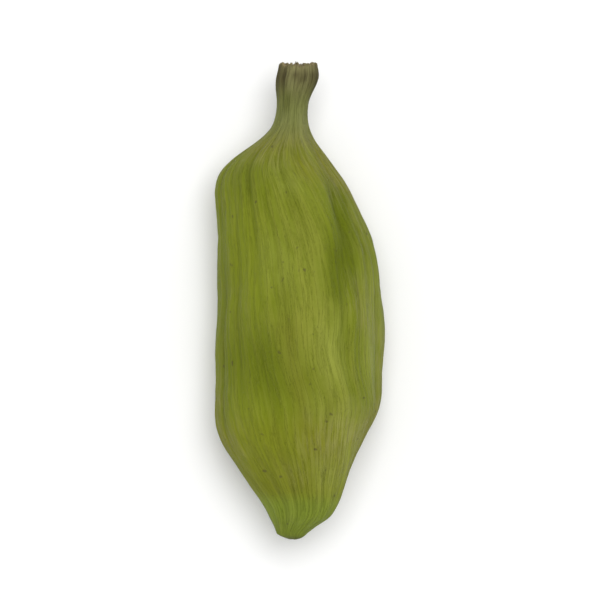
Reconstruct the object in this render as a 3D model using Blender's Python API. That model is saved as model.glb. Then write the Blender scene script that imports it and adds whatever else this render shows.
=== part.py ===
"""A dried green cardamom pod, lying on its flattest side with its stalk towards +Y.

The pod is one grown body: a closed capsule with three rounded edges, a stalk stub with a broken,
flared end, and a blunt tip that ends on a slant. It is laid up as rings from the tip to the stalk.
Each ring is a rounded three-sided section, stretched to the pod's outline from above and from the
side. Furrows, hollows, lengthwise veins and the swellings over the seeds are then pressed into it.
"""

import bmesh
import bpy
import numpy as np

NODE = "cardamom_pod"
MM = 0.001

# Outline from above, in mm: place along the pod, reach of the left flank, reach of the right flank.
PLAN = np.array((
    (-9.55, 0.86, -0.02),
    (-9.30, 0.98, 0.78),
    (-8.60, 1.28, 1.43),
    (-7.20, 2.30, 1.95),
    (-5.40, 3.32, 2.80),
    (-4.00, 3.44, 3.38),
    (-0.80, 3.38, 3.48),
    (2.00, 3.36, 3.18),
    (4.40, 3.42, 2.14),
    (5.20, 3.26, 1.58),
    (6.20, 2.10, 0.86),
    (7.10, 1.05, 0.38),
    (8.10, 0.92, 0.36),
    (9.00, 0.99, 0.88),
    (9.80, 0.80, 0.76),
))
# Outline from the side, in mm: place along the pod, height above the long axis, depth below it.
PROFILE = np.array((
    (-9.55, 0.22, 0.16),
    (-9.30, 0.72, 0.66),
    (-8.60, 1.14, 1.02),
    (-7.20, 1.92, 1.62),
    (-5.20, 2.78, 2.48),
    (-2.60, 3.34, 2.98),
    (0.00, 3.50, 3.06),
    (2.60, 3.22, 2.94),
    (4.60, 2.52, 2.36),
    (5.80, 1.74, 1.62),
    (6.80, 0.98, 0.82),
    (7.60, 0.74, 0.50),
    (8.30, 0.78, 0.38),
    (9.00, 0.96, 0.56),
    (9.80, 0.88, 0.42),
))
# The outlines are averaged over this many places this far to either side, so that no bend is sharp.
BEND_REACH = 0.45
BEND_PLACES = 7
TIP_RIM = -9.55
STALK_RIM = 9.8

# The upper edge runs askew: place along the pod and how far the skin is turned there, in degrees.
TURN = np.array((
    (-9.80, -50.0),
    (-7.60, -45.0),
    (-4.60, -30.0),
    (-1.60, -17.0),
    (4.40, -16.0),
    (7.20, -4.0),
    (9.80, 0.0),
))

# The three rounded edges: their angles round the pod and how far they stand out of a circle.
EDGES = ((90.0, 0.27), (210.0, 0.32), (330.0, 0.28))
EDGE_SHARPNESS = 3.4
# The edges melt into the round stalk and into the tip between these places, in mm.
EDGE_FADE_STALK = (5.2, 7.4)
EDGE_FADE_TIP = (-9.8, -8.2)
EDGE_LEFT_AT_ENDS = 0.25

# Furrows and hollows: first and last place along the pod, angle round the pod at each, half width
# in degrees, and depth in mm. The first two show from above, and the others lie on the two sides
# and the underside.
DENTS = (
    (6.0, -1.0, 48.0, 86.0, 11.5, 0.44),
    (-0.5, -4.9, 138.0, 140.0, 22.0, 0.25),
    (4.4, -3.8, 188.0, 180.0, 10.0, 0.12),
    (1.4, -6.8, 22.0, 30.0, 11.0, 0.13),
    (5.4, 0.6, 240.0, 248.0, 9.0, 0.16),
    (-1.8, -7.4, 296.0, 286.0, 12.0, 0.16),
    (5.0, -2.0, 352.0, 346.0, 8.0, 0.12),
)

# Lengthwise veins: strips between fine furrows that start and fade one by one along the pod.
VEINS = 18
STEPS_PER_VEIN = 4
VEIN_DEPTH = 0.14
VEIN_DEPTH_ON_STALK = 0.03
VEIN_FADE_TIP = (-9.8, -8.0)
VEIN_MEAN = 0.58
VEIN_SWING = 0.42
VEIN_SWING_PER_MM = 0.62
VEIN_SWING_PER_VEIN = 2.4
# They sway sideways by this many degrees and swing back after this many mm.
VEIN_SWAY = 3.0
VEIN_SWAY_SPACING = 15.0

# The seeds swell the skin in low lumps, this far apart along the pod, in mm. The three rows of
# seeds don't lie level with each other.
LUMP_SPACING = 3.3
LUMP_HEIGHT = 0.07
LUMP_FADE_TIP = (-9.4, -6.5)
LUMP_FADE_STALK = (3.5, 6.0)
LUMP_ROWS_APART = 2.2

# The capsule turns into the stalk between these places. On the capsule the outline lies this far
# below the tops of the relief, halfway to its furrows.
STALK_STARTS = (5.6, 7.6)
TIP_CLOSES = (-9.6, -8.8)
RELIEF_MIDDLE = 0.08

# The pod rests on a spot pressed flat at this depth below the long axis, in mm.
FLAT_DEPTH = 2.86

# Rings: first and last place of each stretch and the number of rings in it, from the tip up.
STRETCHES = (
    (TIP_RIM, -8.40, 6),
    (-8.40, -5.60, 7),
    (-5.60, 3.80, 15),
    (3.80, 6.40, 9),
    (6.40, 8.40, 6),
    (8.40, STALK_RIM, 5),
)
# The broken stalk end: size of each inner ring against the rim and its sinking in mm, then the
# sinking of the middle.
STALK_END = ((0.84, 0.00), (0.46, 0.12))
STALK_END_SINK = 0.10
# The break is uneven and slants, so that its upper side is the lowest, at this angle round the pod.
BREAK_RAGGED = 0.10
BREAK_SLANT = 0.11
BREAK_LOWEST_AT = 100.0
BREAK_REACH = (8.9, 9.8)
# The tip closes in a small dome, so its rings stand out instead of sinking.
TIP_END = ((0.82, -0.09), (0.50, -0.19))
TIP_END_SINK = -0.25

SKIN_COLOUR = (0.165, 0.190, 0.016, 1.0)
SKIN_ROUGHNESS = 0.62


def smooth_through(stations, column, places):
    """Monotone cubic through the stations, so that no flank swells between two of them."""
    knots = stations[:, 0]
    values = stations[:, column]
    steps = np.diff(knots)
    slopes = np.diff(values) / steps
    before, after = slopes[:-1], slopes[1:]
    same_way = before * after > 0
    total = np.where(same_way, before + after, 1.0)
    inner = np.where(same_way, 2.0 * before * after / total, 0.0)
    tangents = np.concatenate((slopes[:1], inner, slopes[-1:]))
    low = np.clip(np.searchsorted(knots, places, side="right") - 1, 0, len(steps) - 1)
    t = (places - knots[low]) / steps[low]
    return (
        (1 + 2 * t) * (1 - t) ** 2 * values[low]
        + t * (1 - t) ** 2 * steps[low] * tangents[low]
        + t * t * (3 - 2 * t) * values[low + 1]
        + t * t * (t - 1) * steps[low] * tangents[low + 1]
    )


def outline(stations, column, y):
    """Reach of the skin from the long axis at a place, with every bend rounded."""
    near = np.linspace(y - BEND_REACH, y + BEND_REACH, BEND_PLACES)
    return smooth_through(stations, column, np.clip(near, TIP_RIM, STALK_RIM)).mean()


def ease(low, high, value):
    """Smooth step from 0 at low to 1 at high."""
    t = np.clip((value - low) / (high - low), 0.0, 1.0)
    return t * t * (3 - 2 * t)


def ring_places():
    """Places of the rings along the pod, closer together where the outline turns."""
    places = [np.linspace(first, last, count, endpoint=False) for first, last, count in STRETCHES]
    return np.concatenate(places + [np.array([STRETCHES[-1][1]])])


def edge_strength(y):
    """How far the three edges stand out at a place: full on the capsule, little at its ends."""
    body = ease(*EDGE_FADE_TIP, y) * (1.0 - ease(*EDGE_FADE_STALK, y))
    return EDGE_LEFT_AT_ENDS + (1.0 - EDGE_LEFT_AT_ENDS) * body


def dent_depth(y, angles):
    """Depth of all furrows and hollows, each fading out at both ends and both sides."""
    depth = np.zeros_like(angles)
    for first, last, angle_first, angle_last, half_width, deepest in DENTS:
        along = (y - first) / (last - first)
        if not 0.0 < along < 1.0:
            continue
        middle = np.radians(angle_first + along * (angle_last - angle_first))
        aside = np.degrees(np.arccos(np.clip(np.cos(angles - middle), -1.0, 1.0)))
        depth += deepest * np.sin(np.pi * along) ** 2 * np.exp(-((aside / half_width) ** 2))
    return depth


def vein_depth(y, angles):
    """Depth of the fine furrows between the veins, deepest on every fourth corner of the ring."""
    turn = np.arange(len(angles)) / STEPS_PER_VEIN
    between = 1.0 - np.abs(np.sin(np.pi * turn))
    vein = np.round(turn) % VEINS
    start = VEIN_SWING_PER_VEIN * vein + np.sin(vein)
    unevenness = VEIN_MEAN + VEIN_SWING * np.sin(start + VEIN_SWING_PER_MM * y)
    deepest = VEIN_DEPTH + (VEIN_DEPTH_ON_STALK - VEIN_DEPTH) * ease(*STALK_STARTS, y)
    return deepest * ease(*VEIN_FADE_TIP, y) * unevenness * between


def lump_depth(y, angles):
    """Depth below the tops of the swellings over the seeds."""
    on_capsule = ease(*LUMP_FADE_TIP, y) * (1.0 - ease(*LUMP_FADE_STALK, y))
    wave = np.sin(2 * np.pi * y / LUMP_SPACING + LUMP_ROWS_APART * np.sin(2 * angles + 0.6))
    return LUMP_HEIGHT * on_capsule * 0.5 * (1.0 + wave)


def ring(y, angles):
    """Corners of one ring: a three-sided section fitted to the outline, with its relief."""
    turn = smooth_through(TURN, 1, y)
    sway = VEIN_SWAY * np.sin(2 * np.pi * y / VEIN_SWAY_SPACING + 3 * angles) * edge_strength(y)
    round_pod = angles + np.radians(turn * (0.5 + 0.5 * np.sin(angles)) + sway)
    radius = np.ones_like(angles)
    for edge, height in EDGES:
        nearness = np.exp(EDGE_SHARPNESS * (np.cos(angles - np.radians(edge)) - 1.0))
        radius += height * edge_strength(y) * nearness
    x = radius * np.cos(round_pod)
    z = radius * np.sin(round_pod)
    left, right = outline(PLAN, 1, y), outline(PLAN, 2, y)
    top, under = outline(PROFILE, 1, y), outline(PROFILE, 2, y)
    x = (x - x.min()) / (x.max() - x.min()) * (left + right) - left
    z = (z - z.min()) / (z.max() - z.min()) * (top + under) - under
    middle_x, middle_z = 0.5 * (right - left), 0.5 * (top - under)
    reach = np.hypot(x - middle_x, z - middle_z)
    depth = dent_depth(y, angles) + vein_depth(y, angles) + lump_depth(y, angles)
    depth -= RELIEF_MIDDLE * ease(*TIP_CLOSES, y) * (1.0 - ease(*STALK_STARTS, y))
    kept = 1.0 - np.minimum(depth / reach, 0.5)
    x = middle_x + (x - middle_x) * kept
    z = middle_z + (z - middle_z) * kept
    return np.column_stack((x, np.full_like(x, y), z))


def end_rings(rim, insets, inwards):
    """Rings that close an end, each smaller than the rim and set back from it."""
    middle = rim.mean(axis=0)
    rings = []
    for size, sink in insets:
        inset = middle + (rim - middle) * size
        inset[:, 1] = middle[1] + (rim[:, 1] - middle[1]) * size * size + inwards * sink
        rings.append(inset)
    return rings


def pod_rings():
    """All rings from the tip's dome to the pith of the broken stalk end, in mm, and their ends."""
    angles = np.linspace(0.0, 2 * np.pi, VEINS * STEPS_PER_VEIN, endpoint=False)
    torn = BREAK_RAGGED * np.sin(3 * angles + 0.4) * np.sin(5 * angles + 2.0)
    torn += BREAK_SLANT * np.cos(angles - np.radians(BREAK_LOWEST_AT))
    rings = []
    for y in ring_places():
        corners = ring(y, angles)
        corners[:, 1] -= ease(*BREAK_REACH, y) * (torn - torn.min())
        rings.append(corners)
    tip = rings[0].mean(axis=0) + np.array((0.0, TIP_END_SINK, 0.0))
    pith = rings[-1].mean(axis=0) - np.array((0.0, STALK_END_SINK, 0.0))
    tip_rings = end_rings(rings[0], TIP_END, 1.0)
    pith_rings = end_rings(rings[-1], STALK_END, -1.0)
    return tip_rings[::-1] + rings + pith_rings, tip, pith


def closed_mesh(rings, tip, pith):
    """Mesh of the rings bridged in turn and closed by a fan round a point at each end."""
    mesh = bpy.data.meshes.new(NODE)
    bm = bmesh.new()
    loops = [[bm.verts.new(corner * MM) for corner in corners] for corners in rings]
    count = len(loops[0])
    for lower, upper in zip(loops, loops[1:]):
        for i in range(count):
            j = (i + 1) % count
            bm.faces.new((lower[i], lower[j], upper[j], upper[i]))
    first, last = bm.verts.new(tip * MM), bm.verts.new(pith * MM)
    for i in range(count):
        j = (i + 1) % count
        bm.faces.new((first, loops[0][j], loops[0][i]))
        bm.faces.new((last, loops[-1][i], loops[-1][j]))
    bmesh.ops.triangulate(bm, faces=bm.faces)
    bmesh.ops.recalc_face_normals(bm, faces=bm.faces)
    bm.to_mesh(mesh)
    bm.free()
    mesh.shade_smooth()
    return mesh


def skin_material():
    """Dry, dull green husk."""
    material = bpy.data.materials.new("husk")
    material.use_nodes = True
    shader = material.node_tree.nodes["Principled BSDF"]
    shader.inputs["Base Color"].default_value = SKIN_COLOUR
    shader.inputs["Roughness"].default_value = SKIN_ROUGHNESS
    shader.inputs["Metallic"].default_value = 0.0
    return material


def build_pod():
    """The pod, centred over the origin with its flat spot at height 0."""
    rings, tip, pith = pod_rings()
    for corners in rings:
        corners[:, 2] = np.maximum(corners[:, 2], -FLAT_DEPTH)
    everything = np.vstack(rings + [tip, pith])
    low, high = everything.min(axis=0), everything.max(axis=0)
    under_middle = np.array((0.5 * (low[0] + high[0]), 0.5 * (low[1] + high[1]), low[2]))
    rings = [corners - under_middle for corners in rings]
    mesh = closed_mesh(rings, tip - under_middle, pith - under_middle)
    mesh.materials.append(skin_material())
    pod = bpy.data.objects.new(NODE, mesh)
    bpy.context.scene.collection.objects.link(pod)
    return pod


for old in list(bpy.data.objects):
    bpy.data.objects.remove(old, do_unlink=True)

build_pod()
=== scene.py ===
"""The looks of a dried green cardamom pod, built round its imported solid."""

import bpy
import numpy as np
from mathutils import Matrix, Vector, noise


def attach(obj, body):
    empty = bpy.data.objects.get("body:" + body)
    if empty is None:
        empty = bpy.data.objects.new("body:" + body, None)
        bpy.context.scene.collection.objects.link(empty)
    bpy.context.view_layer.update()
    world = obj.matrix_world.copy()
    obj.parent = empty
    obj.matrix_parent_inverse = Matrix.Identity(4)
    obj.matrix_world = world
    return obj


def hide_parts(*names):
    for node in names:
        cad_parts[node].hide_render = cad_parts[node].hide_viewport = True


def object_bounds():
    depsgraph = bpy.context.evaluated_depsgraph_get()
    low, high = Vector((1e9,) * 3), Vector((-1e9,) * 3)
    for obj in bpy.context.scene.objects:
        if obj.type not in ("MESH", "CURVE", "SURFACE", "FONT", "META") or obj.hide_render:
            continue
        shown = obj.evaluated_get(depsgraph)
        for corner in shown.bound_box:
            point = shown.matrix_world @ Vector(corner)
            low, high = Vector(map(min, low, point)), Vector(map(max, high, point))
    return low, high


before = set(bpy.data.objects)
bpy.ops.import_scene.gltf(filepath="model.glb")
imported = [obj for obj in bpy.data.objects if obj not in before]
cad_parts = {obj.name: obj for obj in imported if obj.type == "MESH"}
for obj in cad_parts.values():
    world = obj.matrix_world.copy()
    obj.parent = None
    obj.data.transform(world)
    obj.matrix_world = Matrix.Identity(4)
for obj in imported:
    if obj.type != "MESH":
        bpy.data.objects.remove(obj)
cad_low, cad_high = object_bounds()

# Camera: straight above the pod, with the stalk towards the top of the picture. The lens is long, so
# that the pod is seen almost without perspective, and the pod fills most of the frame.
CAMERA_LENS = 250.0
POD_SHARE_OF_FRAME = 0.80
# Nearest and furthest distance that is seen, as shares of the distance to the pod.
SEEN_FROM = 0.1
SEEN_TO = 20.0

pod_middle = (cad_low + cad_high) / 2
pod_length = cad_high.y - cad_low.y
camera_data = bpy.data.cameras.new("camera")
camera_data.lens = CAMERA_LENS
camera_distance = pod_length / POD_SHARE_OF_FRAME * CAMERA_LENS / camera_data.sensor_width
camera_data.clip_start = camera_distance * SEEN_FROM
camera_data.clip_end = camera_distance * SEEN_TO
camera = bpy.data.objects.new("camera", camera_data)
camera.location = (pod_middle.x, pod_middle.y, pod_middle.z + camera_distance)
bpy.context.scene.collection.objects.link(camera)
bpy.context.scene.camera = camera

# Pod: a thin dry husk, closed round its seeds, that grew as one piece with its stalk and blunt tip.
# The stalk was broken off, so that end is torn round a sunken pith. The husk is made of rings along the
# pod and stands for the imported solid.

# Places are in mm along the pod, from the tip at -9.8 to the break at 9.8. Angles are in degrees round
# it, with the right side at 0 and the top at 90. A name that ends in _AT_TIP, _AT_NECK, _AT_BREAK or
# _END holds the place where a thing has faded out and the place where it is full.

# Outline from above, in mm: place along the pod, reach of the left flank, reach of the right flank.
PLAN = np.array((
    (-9.55, 0.86, -0.02),
    (-9.30, 0.98, 0.78),
    (-8.60, 1.28, 1.43),
    (-7.20, 2.30, 1.95),
    (-5.40, 3.32, 2.80),
    (-4.00, 3.44, 3.38),
    (-0.80, 3.38, 3.48),
    (2.00, 3.36, 3.18),
    (4.40, 3.42, 2.14),
    (5.20, 3.26, 1.58),
    (6.20, 2.10, 0.86),
    (7.10, 1.05, 0.38),
    (8.10, 0.92, 0.36),
    (9.00, 0.99, 0.88),
    (9.80, 0.80, 0.76),
))
# Outline from the side, in mm: place along the pod, height above the long axis, depth below it.
PROFILE = np.array((
    (-9.55, 0.22, 0.16),
    (-9.30, 0.72, 0.66),
    (-8.60, 1.14, 1.02),
    (-7.20, 1.92, 1.62),
    (-5.20, 2.78, 2.48),
    (-2.60, 3.34, 2.98),
    (0.00, 3.50, 3.06),
    (2.60, 3.22, 2.94),
    (4.60, 2.52, 2.36),
    (5.80, 1.74, 1.62),
    (6.80, 0.98, 0.82),
    (7.60, 0.74, 0.50),
    (8.30, 0.78, 0.38),
    (9.00, 0.96, 0.56),
    (9.80, 0.88, 0.42),
))
TIP_RIM = -9.55
STALK_RIM = 9.8
# A husk has no sharp bend, so its outlines are averaged over these steps along it, in mm.
BEND_STEPS = np.linspace(-0.45, 0.45, 7)


def smooth_through(stations, column, places):
    """Monotone cubic through the stations, so that no flank swells between two of them."""
    knots = stations[:, 0]
    values = stations[:, column]
    steps = np.diff(knots)
    slopes = np.diff(values) / steps
    before, after = slopes[:-1], slopes[1:]
    same_way = before * after > 0
    total = np.where(same_way, before + after, 1.0)
    inner = np.where(same_way, 2.0 * before * after / total, 0.0)
    tangents = np.concatenate((slopes[:1], inner, slopes[-1:]))
    low = np.clip(np.searchsorted(knots, places, side="right") - 1, 0, len(steps) - 1)
    t = (places - knots[low]) / steps[low]
    return (
        (1 + 2 * t) * (1 - t) ** 2 * values[low]
        + t * (1 - t) ** 2 * steps[low] * tangents[low]
        + t * t * (3 - 2 * t) * values[low + 1]
        + t * t * (t - 1) * steps[low] * tangents[low + 1]
    )


def outline(stations, column, places):
    """Reach of the skin from the long axis, with its bends rounded."""
    near = (np.clip(places + step, TIP_RIM, STALK_RIM) for step in BEND_STEPS)
    return sum(smooth_through(stations, column, at) for at in near) / len(BEND_STEPS)


def ease(nothing, full, value):
    """Smooth step from 0 to 1 between two places, whichever of them is the higher."""
    t = np.clip((value - nothing) / (full - nothing), 0.0, 1.0)
    return t * t * (3 - 2 * t)


def degrees_aside(angle, middle):
    """How far points lie to either side of a line that runs along the pod at the angle middle."""
    return np.degrees(np.arccos(np.clip(np.cos(angle - np.radians(middle)), -1.0, 1.0)))


# The rings, and the corners of each, as many to every vein.
VEINS = 18
CORNERS_PER_VEIN = 26
CORNERS = VEINS * CORNERS_PER_VEIN
RINGS = 193
y, angle = np.meshgrid(
    np.linspace(TIP_RIM, STALK_RIM, RINGS),
    np.linspace(0.0, 2 * np.pi, CORNERS, endpoint=False),
    indexing="ij",
)

# Three rounded edges: angle of each, and its height as a share of the radius. They are lower at both
# ends, where this share of the height is left.
EDGES = ((90.0, 0.27), (210.0, 0.32), (330.0, 0.28))
EDGE_SHARPNESS = 3.4
EDGE_LEFT_AT_ENDS = 0.25
EDGES_AT_TIP = (-9.8, -8.2)
EDGES_AT_NECK = (7.4, 5.2)
# The upper edge runs askew: place along the pod and how far the skin is turned there, in degrees.
TURN = np.array((
    (-9.80, -50.0),
    (-7.60, -45.0),
    (-4.60, -30.0),
    (-1.60, -17.0),
    (4.40, -16.0),
    (7.20, -4.0),
    (9.80, 0.0),
))
# The veins sway from side to side: by how many degrees, in how many mm along the pod, and in how many
# waves round it.
VEIN_SWAY = 3.0
VEIN_SWAY_SPACING = 15.0
VEIN_SWAY_WAVES = 3.0

edge_strength = ease(*EDGES_AT_TIP, y) * ease(*EDGES_AT_NECK, y)
edge_strength = EDGE_LEFT_AT_ENDS + (1.0 - EDGE_LEFT_AT_ENDS) * edge_strength
sway = VEIN_SWAY * np.sin(2 * np.pi * y / VEIN_SWAY_SPACING + VEIN_SWAY_WAVES * angle) * edge_strength
upper_side = 0.5 + 0.5 * np.sin(angle)
round_pod = angle + np.radians(smooth_through(TURN, 1, y) * upper_side + sway)
radius = np.ones(y.shape)
for edge, height in EDGES:
    radius += height * edge_strength * np.exp(EDGE_SHARPNESS * (np.cos(angle - np.radians(edge)) - 1))
x = radius * np.cos(round_pod)
z = radius * np.sin(round_pod)
left, right = outline(PLAN, 1, y), outline(PLAN, 2, y)
top, under = outline(PROFILE, 1, y), outline(PROFILE, 2, y)
x_low, x_high = x.min(axis=1, keepdims=True), x.max(axis=1, keepdims=True)
z_low, z_high = z.min(axis=1, keepdims=True), z.max(axis=1, keepdims=True)
x = (x - x_low) / (x_high - x_low) * (left + right) - left
z = (z - z_low) / (z_high - z_low) * (top + under) - under
middle_x, middle_z = 0.5 * (right - left), 0.5 * (top - under)
reach = np.hypot(x - middle_x, z - middle_z)

# Furrows and hollows: first and last place, angle at each, half width in degrees, depth in mm. Then
# how quickly they fade towards their ends.
DENTS = (
    (6.0, -1.0, 48.0, 86.0, 11.5, 0.44),
    (-0.5, -4.9, 138.0, 140.0, 22.0, 0.25),
    (4.4, -3.8, 188.0, 180.0, 10.0, 0.12),
    (1.4, -6.8, 22.0, 30.0, 11.0, 0.13),
    (5.4, 0.6, 240.0, 248.0, 9.0, 0.16),
    (-1.8, -7.4, 296.0, 286.0, 12.0, 0.16),
    (5.0, -2.0, 352.0, 346.0, 8.0, 0.12),
)
DENT_FADE = 2.0


def husk_dents(y, angle, spread=1.0, fade=DENT_FADE):
    """Depth of the furrows and hollows, in mm, each fading out at its ends and sides."""
    depth = np.zeros(y.shape)
    for first, last, angle_first, angle_last, half_width, deepest in DENTS:
        along = np.clip((y - first) / (last - first), 0.0, 1.0)
        aside = degrees_aside(angle, angle_first + along * (angle_last - angle_first))
        lengthwise = np.maximum(np.sin(np.pi * along), 0.0) ** fade
        depth += deepest * lengthwise * np.exp(-((aside / half_width / spread) ** 2))
    return depth


# Veins, with a groove between any two, which is this many mm deep. The grooves are uneven: their depth
# follows a wave, with its shift from one groove to the next and its run along each in radians.
VEIN_DEPTH = 0.14
VEIN_DEPTH_ON_STALK = 0.03
VEINS_AT_TIP = (-9.8, -8.0)
USUAL_GROOVE = 0.58
GROOVE_UNEVENNESS = 0.42
UNEVENNESS_SHIFT = 2.4
UNEVENNESS_PER_MM = 0.62


def husk_veins(y, angle):
    """How deep each point lies between the veins: 0 on a vein, up to 1 in the groove beside it."""
    turn = angle / (2 * np.pi) * VEINS
    groove = np.round(turn) % VEINS
    wave = np.sin(UNEVENNESS_SHIFT * groove + np.sin(groove) + UNEVENNESS_PER_MM * y)
    return (1.0 - np.abs(np.sin(np.pi * turn))) * (USUAL_GROOVE + GROOVE_UNEVENNESS * wave)


# Swellings over the seeds: spacing along the pod and height in mm. They are staggered round it, by a
# wave in radians.
LUMP_SPACING = 3.3
LUMP_HEIGHT = 0.07
LUMPS_AT_TIP = (-9.4, -6.5)
LUMPS_AT_NECK = (6.0, 3.5)
LUMP_STAGGER = 2.2
LUMP_STAGGER_FROM = 0.6


def husk_lumps(y, angle):
    """Depth below the tops of the swellings over the seeds, in mm."""
    on_capsule = ease(*LUMPS_AT_TIP, y) * ease(*LUMPS_AT_NECK, y)
    stagger = LUMP_STAGGER * np.sin(2 * angle + LUMP_STAGGER_FROM)
    return LUMP_HEIGHT * on_capsule * 0.5 * (1.0 + np.sin(2 * np.pi * y / LUMP_SPACING + stagger))


def lengthwise_noise(y, angle, across, along, seed):
    """Noise drawn out along the husk: across and along are its grains per radian and per mm."""
    values = np.empty(y.shape)
    flat = zip(np.cos(angle).flat, np.sin(angle).flat, y.flat)
    for i, (c, s, place) in enumerate(flat):
        values.flat[i] = noise.noise((c * across + seed, s * across - seed, place * along + seed))
    return values


# Relief finer than the solid's, with depths in mm. Each noise has its grains across and along the husk
# and its seed.
FIBRE_DEPTH = 0.065
FIBRE_NOISE = (11.0, 0.16, 3.1)
WRINKLE_DEPTH = 0.05
WRINKLE_NOISE = (3.6, 0.55, 8.7)
CREASE_DEPTH = 0.035
CREASE_NOISE = (4.4, 2.1, 6.2)
STALK_GROOVES = 0.10
STALK_GROOVE_NOISE = (2.6, 0.5, 4.4)
STALK_AT_NECK = (5.6, 7.6)
# Where the pod is slim, the relief is lower. It is full where the skin is this many mm from the middle
# of its ring, and never less than this share.
FULL_RELIEF_REACH = 3.0
LEAST_RELIEF = 0.2
# The relief lies about the outline and not all inside it, so the skin is first raised by this much.
RELIEF_MIDDLE = 0.08
RELIEF_MIDDLE_AT_TIP = (-9.6, -8.8)
# No place is cut deeper than this share of the way to the middle of its ring.
DEEPEST_SHARE = 0.5

on_stalk = ease(*STALK_AT_NECK, y)
on_capsule = 1.0 - on_stalk
slim = np.clip(reach / FULL_RELIEF_REACH, LEAST_RELIEF, 1.0)
veins = husk_veins(y, angle) * ease(*VEINS_AT_TIP, y)
fibres = 1.0 - 2.0 * np.abs(lengthwise_noise(y, angle, *FIBRE_NOISE))
wrinkles = lengthwise_noise(y, angle, *WRINKLE_NOISE)
creases = lengthwise_noise(y, angle, *CREASE_NOISE)
grooves = np.abs(lengthwise_noise(y, angle, *STALK_GROOVE_NOISE))
depth = (
    husk_dents(y, angle)
    + (VEIN_DEPTH + (VEIN_DEPTH_ON_STALK - VEIN_DEPTH) * on_stalk) * veins
    + husk_lumps(y, angle)
    + slim * FIBRE_DEPTH * (0.5 - 0.5 * fibres)
    + slim * WRINKLE_DEPTH * (0.5 + 0.5 * wrinkles)
    + slim * CREASE_DEPTH * (0.5 + 0.5 * creases) * on_capsule
    + STALK_GROOVES * on_stalk * grooves
    - RELIEF_MIDDLE * ease(*RELIEF_MIDDLE_AT_TIP, y) * on_capsule
)
kept = 1.0 - np.minimum(depth / reach, DEEPEST_SHARE)
x = middle_x + (x - middle_x) * kept
z = middle_z + (z - middle_z) * kept

# The rim of the break: depth of its slant, notches and teeth in mm, then the torn fibres that stand up
# from it, each with its angle, half width in degrees and height in mm.
BREAK_SLANT = 0.11
BREAK_LOWEST_AT = 100.0
BREAK_NOTCHES = 0.10
NOTCH_NOISE = (3.3, 0.0, 5.3)
BREAK_TEETH = 0.20
TOOTH_NOISE = (12.0, 0.0, 2.9)
SPLINTERS = (
    (24.0, 10.0, 0.09),
    (58.0, 3.0, 0.06),
    (67.0, 4.0, 0.13),
    (112.0, 15.0, 0.06),
    (151.0, 3.0, 0.12),
    (160.0, 6.0, 0.08),
    (205.0, 7.0, 0.05),
    (262.0, 4.0, 0.06),
    (318.0, 9.0, 0.05),
)
SPLINTER_STEEPNESS = 1.5
TEAR_AT_BREAK = (8.9, STALK_RIM)
# The pod lies on a small flat, this many mm below its long axis.
FLAT_DEPTH = 2.86

rim_angle = angle[-1:]
tear = BREAK_SLANT * np.cos(rim_angle - np.radians(BREAK_LOWEST_AT))
tear += BREAK_NOTCHES * np.abs(lengthwise_noise(y[-1:], rim_angle, *NOTCH_NOISE))
tear += BREAK_TEETH * np.abs(lengthwise_noise(y[-1:], rim_angle, *TOOTH_NOISE))
for place, half_width, height in SPLINTERS:
    aside = degrees_aside(rim_angle, place) / half_width
    tear -= height * np.exp(-aside ** SPLINTER_STEEPNESS)
tear -= tear.min()
y = y - ease(*TEAR_AT_BREAK, y) * tear
z = np.maximum(z, -FLAT_DEPTH)
pod_points = np.stack((x, y, z), axis=2)

# End faces: size of each inner ring against the rim, and its sinking in mm, below 0 where it stands
# out. The stalk's pith is sunken inside a slight lip, and the tip is domed.
STALK_FACE = (
    (0.95, -0.02),
    (0.88, -0.01),
    (0.80, 0.04),
    (0.68, 0.10),
    (0.54, 0.13),
    (0.36, 0.12),
    (0.18, 0.09),
)
TIP_FACE = (
    (0.92, -0.045),
    (0.82, -0.09),
    (0.67, -0.14),
    (0.50, -0.19),
    (0.33, -0.22),
    (0.16, -0.24),
)
# Height of their bumps in mm, and the bumps' grains per mm and seed.
PITH_BUMPS = 0.10
TIP_BUMPS = 0.05
FACE_GRAIN = 6.0
FACE_SEED = 2.0


def face_rings(rim, insets, inwards, bumps):
    """Rings that close an end of the pod, each smaller than the rim, and sunken or standing out."""
    middle = rim.mean(axis=0)
    rings = []
    for size, sink in insets:
        inset = middle + (rim - middle) * size
        inset[:, 1] = middle[1] + (rim[:, 1] - middle[1]) * size * size + inwards * sink
        places = [(px * FACE_GRAIN, FACE_SEED, pz * FACE_GRAIN) for px, _, pz in inset]
        grain = np.array([noise.noise(place) for place in places])
        inset[:, 1] += bumps * (1.0 - size) * grain
        rings.append(inset)
    return np.array(rings)


tip_face = face_rings(pod_points[0], TIP_FACE, 1.0, TIP_BUMPS)[::-1]
stalk_face = face_rings(pod_points[-1], STALK_FACE, -1.0, PITH_BUMPS)
all_points = np.concatenate((tip_face, pod_points, stalk_face))
low, high = all_points.reshape(-1, 3).min(axis=0), all_points.reshape(-1, 3).max(axis=0)
fit = (np.array(cad_high) - np.array(cad_low)) / (high - low)
husk_points = (all_points - low) * fit + np.array(cad_low)
row_count = len(husk_points)
ends = (husk_points[0].mean(axis=0), husk_points[-1].mean(axis=0))

# Each face has its place on a flat map: round the pod across it, and along the skin up it, between
# two strips for the middles of the end faces.
MAP_STRIP = 0.01

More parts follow.
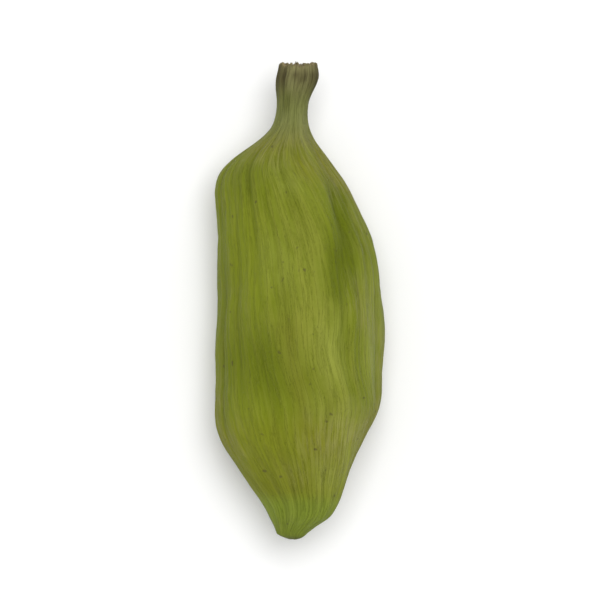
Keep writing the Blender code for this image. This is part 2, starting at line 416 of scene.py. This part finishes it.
corners = [tuple(p) for p in husk_points.reshape(-1, 3)] + [tuple(p) for p in ends]
tip_centre, stalk_centre = row_count * CORNERS, row_count * CORNERS + 1
last_row = (row_count - 1) * CORNERS
steps = np.linalg.norm(np.diff(husk_points, axis=0), axis=2).mean(axis=1)
up = np.concatenate(((0.0,), np.cumsum(steps)))
up = MAP_STRIP + (1.0 - 2 * MAP_STRIP) * up / up[-1]
faces, places = [], []
for i in range(CORNERS):
    j = (i + 1) % CORNERS
    u, v = i / CORNERS, (i + 1) / CORNERS
    for row in range(row_count - 1):
        a, b = row * CORNERS, (row + 1) * CORNERS
        faces.append((a + i, b + i, b + j, a + j))
        places += [(u, up[row]), (u, up[row + 1]), (v, up[row + 1]), (v, up[row])]
    faces.append((tip_centre, i, j))
    places += [((u + v) / 2, 0.0), (u, up[0]), (v, up[0])]
    faces.append((stalk_centre, last_row + j, last_row + i))
    places += [((u + v) / 2, 1.0), (v, up[-1]), (u, up[-1])]
husk_mesh = bpy.data.meshes.new("pod_husk")
husk_mesh.from_pydata(corners, [], faces)
husk_mesh.shade_smooth()
husk_map = husk_mesh.uv_layers.new(name="OFBake")
husk_map.data.foreach_set("uv", np.array(places, dtype=np.float32).ravel())
husk = bpy.data.objects.new("pod_husk", husk_mesh)
bpy.context.scene.collection.objects.link(husk)


def paint(name, values, on_tip=None, on_break=None):
    """Stores a value for every corner of the husk, for its material to read. Where nothing else is
    given for an end face, it goes on from the rim."""
    on_tip = values[:1] if on_tip is None else on_tip
    on_break = values[-1:] if on_break is None else on_break
    tip = np.broadcast_to(on_tip, (len(TIP_FACE), CORNERS))
    stalk = np.broadcast_to(on_break, (len(STALK_FACE), CORNERS))
    whole = np.concatenate((tip, values, stalk))
    whole = np.append(whole.ravel(), (whole[0].mean(), whole[-1].mean()))
    layer = husk_mesh.attributes.new(name, "FLOAT", "POINT")
    layer.data.foreach_set("value", whole.astype(np.float32))


def band(middle, half_width, steepness):
    """Lengthwise band on the skin: 1 along its middle and less beside it, both given in degrees."""
    return np.exp(-((degrees_aside(angle, middle) / half_width) ** steepness))


# Painted highlight along the top of the upper edge: place along the pod, angle round it and half width
# in degrees. The losses give where it begins to weaken, where that ends, and the share that it loses.
RIDGE_HIGHLIGHT = np.array((
    (-9.8, 98.0, 12.0),
    (-3.0, 96.0, 12.0),
    (-0.7, 104.0, 15.0),
    (2.2, 103.0, 17.0),
    (5.0, 96.0, 15.0),
    (9.8, 92.0, 12.0),
))
RIDGE_STEEPNESS = 3.5
RIDGE_AT_TIP = (-8.6, -5.6)
RIDGE_LOSSES = ((-1.5, 1.5, 0.60), (3.0, 5.0, 0.15))

ridge_highlight = band(smooth_through(RIDGE_HIGHLIGHT, 1, y), smooth_through(RIDGE_HIGHLIGHT, 2, y), RIDGE_STEEPNESS)
ridge_highlight *= ease(*RIDGE_AT_TIP, y)
ridge_highlight *= 1.0 - sum(loss * ease(start, stop, y) for start, stop, loss in RIDGE_LOSSES)

# Painted shade on the floor of the furrow beside it, given in the same way. Towards the tip it fades
# out in two steps, each with its places and its share.
FURROW_SHADE = np.array((
    (-1.6, 79.0, 13.0),
    (0.0, 79.0, 15.0),
    (1.0, 77.0, 16.0),
    (2.0, 73.0, 17.0),
    (3.0, 65.0, 19.0),
    (4.0, 53.0, 19.0),
    (5.4, 44.0, 15.0),
))
FURROW_FLOOR_STEEPNESS = 5.0
FURROW_FLOOR_STRENGTH = 0.78
FURROW_FLOOR_AT_NECK = (5.4, 4.0)
FURROW_FLOOR_FADES = ((-0.35, 0.35, 0.70), (-2.4, -1.0, 0.30))

furrow_at = np.clip(y, FURROW_SHADE[0, 0], FURROW_SHADE[-1, 0])
furrow_middle = smooth_through(FURROW_SHADE, 1, furrow_at)
furrow_half_width = smooth_through(FURROW_SHADE, 2, furrow_at)
furrow_shade = band(furrow_middle, furrow_half_width, FURROW_FLOOR_STEEPNESS)
furrow_shade *= FURROW_FLOOR_STRENGTH
furrow_shade *= ease(*FURROW_FLOOR_AT_NECK, y)
furrow_shade *= sum(share * ease(start, stop, y) for start, stop, share in FURROW_FLOOR_FADES)

# Patches of the skin and of the stalk: place along the pod, angle round it, half length in mm, half
# width in degrees, and strength.
# Dark patches: painted shade, laid on the skin together with the furrow's painted shade.
DARK_PATCHES = (
    (-2.7, 141.0, 1.15, 27.0, 0.34),
    (-2.9, 124.0, 0.90, 9.0, 0.22),
    (4.8, 143.0, 0.80, 21.0, 0.38),
    (5.3, 77.0, 0.55, 12.0, 0.18),
)
BROWN_PATCHES = ((5.4, 76.0, 0.65, 14.0, 0.34),)
PALE_PATCHES = (
    (5.0, 100.0, 0.80, 11.0, 0.26),
    # Painted light along the right rim, as thrown back from the white floor.
    (-1.4, 36.0, 2.80, 23.0, 0.48),
    (1.5, 124.0, 1.20, 13.0, 0.26),
    (-2.1, 90.0, 1.70, 12.0, 0.42),
    (-2.2, 117.0, 1.10, 8.0, 0.16),
    (-4.1, 112.0, 0.80, 8.0, 0.20),
    (-6.2, 72.0, 2.10, 22.0, 0.50),
    (-7.2, 95.0, 0.90, 20.0, 0.42),
)
LEAFY_PATCHES = (
    (1.8, 148.0, 2.30, 26.0, 0.50),
    (-0.3, 72.0, 1.20, 8.0, 0.35),
    (3.2, 78.0, 1.10, 8.0, 0.25),
    (-5.2, 150.0, 1.30, 26.0, 0.30),
)
STALK_DARK_PATCHES = ((8.1, 118.0, 0.45, 20.0, 0.60),)
STALK_PALE_PATCHES = (
    (8.75, 104.0, 0.36, 12.0, 0.32),
    (6.95, 46.0, 0.85, 26.0, 0.30),
    (7.20, 112.0, 0.50, 20.0, 0.17),
)
PATCH_STEEPNESS = 3.0


def patches(table):
    """Strength of the strongest of the patches at each point of the skin."""
    whole = np.zeros(y.shape)
    for place, middle, half_length, half_width, strength in table:
        lengthwise = np.exp(-np.abs((y - place) / half_length) ** PATCH_STEEPNESS)
        patch = lengthwise * band(middle, half_width, PATCH_STEEPNESS)
        whole = np.maximum(whole, strength * patch)
    return whole


# Painted shade in a furrow or hollow reaches this many times as far to its sides as its depth, and
# fades less than its depth towards its ends.
HOLLOW_SHADE_SPREAD = 1.6
HOLLOW_SHADE_FADE = 1.1
# Painted shade darkens the grooves between the veins too, but less so on the stalk.
GROOVE_SHADE = 0.34
GROOVE_TINT_LOST_ON_STALK = 0.6
# The brown seam on the left of the upper edge, the browner ring behind the tip, and the fresh green
# tip. Each has an end towards the stalk, and the first two have one towards the tip.
SEAM_ANGLE = 118.0
SEAM_HALF_WIDTH = 8.0
SEAM_STEEPNESS = 2.0
SEAM_TINT = 0.55
SEAM_STALK_END = (-0.2, -1.6)
SEAM_TIP_END = (-7.0, -4.6)
BROWN_TINT = 0.30
BROWN_STALK_END = (-4.2, -5.6)
BROWN_TIP_END = (-8.6, -7.8)
FRESH_TINT = 0.50
FRESH_STALK_END = (-7.6, -8.4)
# The paler torn fibres below the break, and the pith's colour, which shows faintly on the rim too.
TORN_ANGLE = 75.0
TORN_HALF_WIDTH = 65.0
TORN_STEEPNESS = 3.0
TORN_TINT = 0.50
TORN_AT_BREAK = (9.15, 9.5)
PITH_AT_BREAK = (9.7, STALK_RIM)
PITH_ON_RIM = 0.35
# The brown scar on the tip: how strong it is in the middle and at the rim.
SCAR = (1.0, 0.1)

seam = SEAM_TINT * band(SEAM_ANGLE, SEAM_HALF_WIDTH, SEAM_STEEPNESS)
seam *= ease(*SEAM_STALK_END, y) * ease(*SEAM_TIP_END, y)
brown_ring = BROWN_TINT * ease(*BROWN_STALK_END, y) * ease(*BROWN_TIP_END, y)
torn = TORN_TINT * ease(*TORN_AT_BREAK, y) * band(TORN_ANGLE, TORN_HALF_WIDTH, TORN_STEEPNESS)
nowhere = np.zeros(y.shape)
paint("around_x", np.cos(angle))
paint("around_y", np.sin(angle))
paint("along", (y - TIP_RIM) / (STALK_RIM - TIP_RIM))
# Painted shade in the grooves between the veins, following their depth.
paint("groove_shade", GROOVE_SHADE * veins * (1.0 - GROOVE_TINT_LOST_ON_STALK * on_stalk))
# Painted shade in the furrows and hollows, following their depth.
paint("hollow", husk_dents(y, angle, HOLLOW_SHADE_SPREAD, HOLLOW_SHADE_FADE))
paint("fibre", fibres)
paint("ridge_highlight", ridge_highlight)
paint("shade", np.maximum(patches(DARK_PATCHES), furrow_shade))
paint("seam", seam)
paint("brown", np.maximum(patches(BROWN_PATCHES), brown_ring))
paint("fresh", FRESH_TINT * ease(*FRESH_STALK_END, y))
paint("leafy", patches(LEAFY_PATCHES))
paint("pale", patches(PALE_PATCHES))
paint("scar", nowhere, on_tip=np.linspace(*SCAR, len(TIP_FACE))[:, None])
paint("stalk_groove", grooves)
# Darker towards the stalk's flanks: painted shade of its round sides, and dirt.
paint("stalk_side_shade_and_dirt", np.abs(np.cos(angle)))
paint("stalk_pale", patches(STALK_PALE_PATCHES))
paint("stalk_dark", patches(STALK_DARK_PATCHES))
paint("torn", torn)
paint("pith", PITH_ON_RIM * ease(*PITH_AT_BREAK, y + tear), on_break=1.0)
paint("pith_middle", nowhere, on_break=np.linspace(0.0, 1.0, len(STALK_FACE))[:, None])

# Colours of the skin, then those of the neck, the stalk and the pith.
DEEP_GREEN = (0.134, 0.163, 0.006, 1.0)
LEAF_OLIVE = (0.162, 0.194, 0.013, 1.0)
PALE_OLIVE = (0.224, 0.242, 0.030, 1.0)
BROWN_OLIVE = (0.192, 0.182, 0.011, 1.0)
# Painted shade: the green for the grooves between the veins, and the green for the furrows, hollows and
# dark patches.
GROOVE_SHADE_GREEN = (0.080, 0.098, 0.003, 1.0)
SHADE_GREEN = (0.104, 0.132, 0.002, 1.0)
SEAM_OLIVE = (0.166, 0.168, 0.013, 1.0)
FRESH_GREEN = (0.200, 0.272, 0.034, 1.0)
LEAF_GREEN = (0.190, 0.228, 0.008, 1.0)
PALE_GREEN = (0.275, 0.310, 0.052, 1.0)
STRAW = (0.300, 0.280, 0.120, 1.0)
NECK_OLIVE = (0.190, 0.206, 0.058, 1.0)
STALK_BROWN = (0.070, 0.058, 0.022, 1.0)
STALK_GREY = (0.212, 0.200, 0.080, 1.0)
STALK_PALE = (0.270, 0.275, 0.105, 1.0)
STALK_GREEN = (0.105, 0.115, 0.022, 1.0)
PITH = (0.270, 0.220, 0.110, 1.0)

# Lengthwise streaks: how fine they are across the skin and along it.
FINE_STREAKS = (16.0, 14.0)
BROAD_STREAKS = (3.0, 6.0)
HAIR_STREAKS = (30.0, 22.0)
THREAD_STREAKS = (15.0, 5.0)
STALK_STREAKS = (5.0, 5.0)
PITH_STREAKS = (7.0, 3.0)
STREAK_DETAIL = 5.0
STREAK_ROUGHNESS = 0.6
# Spots that aren't drawn out: how fine they are per metre, and their detail.
BLOTCHES = (230.0, 3.0)
MOTTLE = (2600.0, 4.0)
SPECKS = (3100.0, 1.0)
# Threads lie where their streaks cross the middle value, and as far to both sides of it as this.
STREAK_MIDDLE = 0.5
THREAD_REACH = 0.030
THREAD_TINT = 0.28
SCUFF_TINT = 0.60

# Layers of colour, from the lowest up: each has its colour and the mask that it follows. Two numbers
# are the mask's values where the layer begins and where it is full, and two more its strength there.
SKIN_LAYERS = (
    (LEAF_OLIVE, "grain", 0.34, 0.54),
    (PALE_OLIVE, "hair", 0.50, 0.72, 0.0, 0.50),
    (BROWN_OLIVE, "blotches", 0.50, 0.72, 0.0, 0.75),
    # Painted highlight along the upper edge.
    (PALE_OLIVE, "streaky_ridge"),
    (PALE_OLIVE, "fibre", 0.55, 1.0, 0.0, 0.45),
    # Painted shade: this layer darkens the grooves between the veins, and the next one the furrows and
    # hollows.
    (GROOVE_SHADE_GREEN, "groove_shade"),
    (SHADE_GREEN, "hollow", 0.0, 0.42, 0.0, 0.60),
    (DEEP_GREEN, "mottle", 0.52, 0.8, 0.0, 0.45),
    (PALE_OLIVE, "faint_threads"),
    # Painted shade of the furrow and the dark patches.
    (SHADE_GREEN, "shade"),
    (SEAM_OLIVE, "seam"),
    (BROWN_OLIVE, "brown"),
    (FRESH_GREEN, "fresh"),
    (LEAF_GREEN, "leafy"),
    (PALE_GREEN, "streaky_pale"),
    (STRAW, "scuffs"),
    (STALK_BROWN, "specks", 0.72, 0.80, 0.0, 0.60),
    (STALK_BROWN, "scar", 0.0, 1.0, 0.0, 0.55),
    (NECK_OLIVE, "along", 0.80, 0.88),
)
STALK_LAYERS = (
    (STALK_GREY, "stalk_streaks", 0.36, 0.60),
    (STALK_BROWN, "stalk_groove", 0.25, 0.0, 0.0, 0.6),
    # Painted shade of the stalk's round sides, and dirt.
    (STALK_BROWN, "stalk_side_shade_and_dirt", 0.45, 0.95, 0.0, 0.8),
)
# Where the stalk's colours begin and where they are full, in shares of the way from tip to break.
STALK_ON_SKIN = (0.89, 0.97)
STALK_PATCH_LAYERS = (
    (STALK_PALE, "stalk_pale"),
    (STALK_GREEN, "stalk_dark"),
    (STRAW, "torn"),
)
PITH_LAYERS = (
    (STALK_BROWN, "pith_streaks", 0.42, 0.62, 0.0, 0.45),
    (STALK_BROWN, "pith_middle", 0.35, 1.0, 0.0, 0.55),
)
# Where streaks are seen in a pale place, and how strong it is between and on them.
RIDGE_STREAKS = (0.40, 0.60, 0.55, 1.0)
PALE_STREAKS = (0.36, 0.62, 0.6, 1.2)
# A scuff shows where both the hair streaks and the blotches are high.
SCUFF_HAIR = (0.36, 0.66)
SCUFF_BLOTCHES = (0.42, 0.78)
# Finish: roughness, which follows the fine streaks, then gloss and the depth of the bumps in metres.
# The mottle and the threads stand this high against the hair streaks.
SKIN_ROUGHNESS = (0.3, 0.7, 0.48, 0.66)
SKIN_GLOSS = 0.08
BUMP_DEPTH = 0.00005
MOTTLE_BUMP = 0.8
THREAD_BUMP = 0.25


def streak_group():
    """Lengthwise streaks of a husk or stalk: a noise drawn out along the fibres."""
    tree = bpy.data.node_groups.new("lengthwise_streaks", "ShaderNodeTree")
    for name in ("Across", "Along"):
        tree.interface.new_socket(name, in_out="INPUT", socket_type="NodeSocketFloat")
    tree.interface.new_socket("Streak", in_out="OUTPUT", socket_type="NodeSocketFloat")
    nodes, links = tree.nodes, tree.links
    given = nodes.new("NodeGroupInput")
    result = nodes.new("NodeGroupOutput")
    joined = nodes.new("ShaderNodeCombineXYZ")
    for k, name in enumerate(("around_x", "around_y", "along")):
        read = nodes.new("ShaderNodeAttribute")
        read.attribute_name = name
        scaled = nodes.new("ShaderNodeMath")
        scaled.operation = "MULTIPLY"
        links.new(read.outputs["Fac"], scaled.inputs[0])
        links.new(given.outputs["Along" if name == "along" else "Across"], scaled.inputs[1])
        links.new(scaled.outputs[0], joined.inputs[k])
    grain = nodes.new("ShaderNodeTexNoise")
    grain.inputs["Scale"].default_value = 1.0
    grain.inputs["Detail"].default_value = STREAK_DETAIL
    grain.inputs["Roughness"].default_value = STREAK_ROUGHNESS
    links.new(joined.outputs[0], grain.inputs["Vector"])
    links.new(grain.outputs["Fac"], result.inputs["Streak"])
    return tree


streaks = streak_group()


def husk_material():
    """Dry green husk: olive with a painted highlight on its upper edge, painted shade in its furrows
    and hollows, a grey neck and a brown stalk.
    """
    material = bpy.data.materials.new("husk_skin")
    material.use_nodes = True
    nodes, links = material.node_tree.nodes, material.node_tree.links
    shader = nodes["Principled BSDF"]

    def put(given, socket):
        if isinstance(given, (float, tuple)):
            socket.default_value = given
        else:
            links.new(given, socket)

    def painted(name):
        read = nodes.new("ShaderNodeAttribute")
        read.attribute_name = name
        return read.outputs["Fac"]

    def streak(across, along):
        group = nodes.new("ShaderNodeGroup")
        group.node_tree = streaks
        group.inputs["Across"].default_value = across
        group.inputs["Along"].default_value = along
        return group.outputs["Streak"]

    def spots(scale, detail):
        place = nodes.new("ShaderNodeTexCoord")
        grain = nodes.new("ShaderNodeTexNoise")
        grain.inputs["Scale"].default_value = scale
        grain.inputs["Detail"].default_value = detail
        links.new(place.outputs["Object"], grain.inputs["Vector"])
        return grain.outputs["Fac"]

    def span(source, low, high, to_low=0.0, to_high=1.0):
        node = nodes.new("ShaderNodeMapRange")
        node.interpolation_type = "SMOOTHSTEP"
        node.inputs["From Min"].default_value = low
        node.inputs["From Max"].default_value = high
        node.inputs["To Min"].default_value = to_low
        node.inputs["To Max"].default_value = to_high
        links.new(source, node.inputs["Value"])
        return node.outputs["Result"]

    def maths(operation, *given):
        node = nodes.new("ShaderNodeMath")
        node.operation = operation
        for value, socket in zip(given, node.inputs):
            put(value, socket)
        return node.outputs[0]

    def tint(under, over, amount):
        # Sockets 0, 6 and 7 are the amount and the two colours. Output 2 is the colour.
        node = nodes.new("ShaderNodeMix")
        node.data_type = "RGBA"
        put(amount, node.inputs[0])
        put(under, node.inputs[6])
        put(over, node.inputs[7])
        return node.outputs[2]

    fine = streak(*FINE_STREAKS)
    hair = streak(*HAIR_STREAKS)
    blotches = spots(*BLOTCHES)
    mottle = spots(*MOTTLE)
    both_streaks = maths("ADD", fine, streak(*BROAD_STREAKS))
    from_middle = maths("ABSOLUTE", maths("SUBTRACT", streak(*THREAD_STREAKS), STREAK_MIDDLE))
    threads = span(from_middle, 0.0, THREAD_REACH, 1.0, 0.0)
    scuffs = maths("MULTIPLY", span(hair, *SCUFF_HAIR), span(blotches, *SCUFF_BLOTCHES))
    worked_out = {
        "grain": maths("MULTIPLY", both_streaks, 0.5),
        "hair": hair,
        "blotches": blotches,
        "mottle": mottle,
        "specks": spots(*SPECKS),
        "faint_threads": maths("MULTIPLY", threads, THREAD_TINT),
        "scuffs": maths("MULTIPLY", scuffs, SCUFF_TINT),
        # Painted highlight along the upper edge, streaked.
        "streaky_ridge": maths("MULTIPLY", painted("ridge_highlight"), span(fine, *RIDGE_STREAKS)),
        "streaky_pale": maths("MULTIPLY", painted("pale"), span(fine, *PALE_STREAKS)),
        "stalk_streaks": streak(*STALK_STREAKS),
        "pith_streaks": streak(*PITH_STREAKS),
    }

    def layered(colour, layers):
        for over, name, *shape in layers:
            source = worked_out[name] if name in worked_out else painted(name)
            colour = tint(colour, over, span(source, *shape) if shape else source)
        return colour

    skin = layered(DEEP_GREEN, SKIN_LAYERS)
    stalk = layered(STALK_BROWN, STALK_LAYERS)
    pith = layered(PITH, PITH_LAYERS)
    skin = tint(skin, stalk, span(painted("along"), *STALK_ON_SKIN))
    skin = layered(skin, STALK_PATCH_LAYERS)
    skin = tint(skin, pith, painted("pith"))
    links.new(skin, shader.inputs["Base Color"])

    links.new(span(fine, *SKIN_ROUGHNESS), shader.inputs["Roughness"])
    shader.inputs["Specular IOR Level"].default_value = SKIN_GLOSS
    bump = nodes.new("ShaderNodeBump")
    bump.inputs["Strength"].default_value = 1.0
    bump.inputs["Distance"].default_value = BUMP_DEPTH
    height = maths("ADD", hair, maths("MULTIPLY", mottle, MOTTLE_BUMP))
    height = maths("ADD", height, maths("MULTIPLY", threads, THREAD_BUMP))
    links.new(height, bump.inputs["Height"])
    links.new(bump.outputs["Normal"], shader.inputs["Normal"])
    return material


husk_mesh.materials.append(husk_material())
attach(husk, "root")
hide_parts("cardamom_pod")

# Floor: a plain white board that the pod lies on, large enough to fill every view. It is painted matt,
# so that it has no reflections. Its half width is in metres.
FLOOR_HALF = 0.6
FLOOR_WHITE = (0.90, 0.90, 0.90, 1.0)
FLOOR_ROUGHNESS = 0.8

floor_corners = []
for side_x, side_y in ((-1, -1), (1, -1), (1, 1), (-1, 1)):
    floor_corners.append((side_x * FLOOR_HALF, side_y * FLOOR_HALF, 0.0))
floor_mesh = bpy.data.meshes.new("floor")
floor_mesh.from_pydata(floor_corners, [], [(0, 1, 2, 3)])
floor = bpy.data.objects.new("floor", floor_mesh)
bpy.context.scene.collection.objects.link(floor)
floor_material = bpy.data.materials.new("floor_white")
floor_material.use_nodes = True
floor_shader = floor_material.node_tree.nodes["Principled BSDF"]
floor_shader.inputs["Base Color"].default_value = FLOOR_WHITE
floor_shader.inputs["Roughness"].default_value = FLOOR_ROUGHNESS
floor_mesh.materials.append(floor_material)

# Light: one large soft lamp high above the pod, off to its right and beyond its stalk, and an even
# white surround. The lamp's place and size are in metres.
LAMP_PLACE = (0.025, 0.05, 0.25)
LAMP_SIZE = 0.16
LAMP_WATTS = 0.45
SURROUND_WHITE = (1.0, 1.0, 1.0, 1.0)
SURROUND_STRENGTH = 0.64

lamp_data = bpy.data.lights.new("soft_lamp", "AREA")
lamp_data.size = LAMP_SIZE
lamp_data.energy = LAMP_WATTS
lamp = bpy.data.objects.new("soft_lamp", lamp_data)
lamp.location = LAMP_PLACE
lamp.rotation_euler = (pod_middle - lamp.location).to_track_quat("-Z", "Y").to_euler()
bpy.context.scene.collection.objects.link(lamp)
world = bpy.data.worlds.new("surround")
world.use_nodes = True
surround = world.node_tree.nodes["Background"]
surround.inputs["Color"].default_value = SURROUND_WHITE
surround.inputs["Strength"].default_value = SURROUND_STRENGTH
bpy.context.scene.world = world
bpy.context.scene.view_settings.view_transform = "Standard"
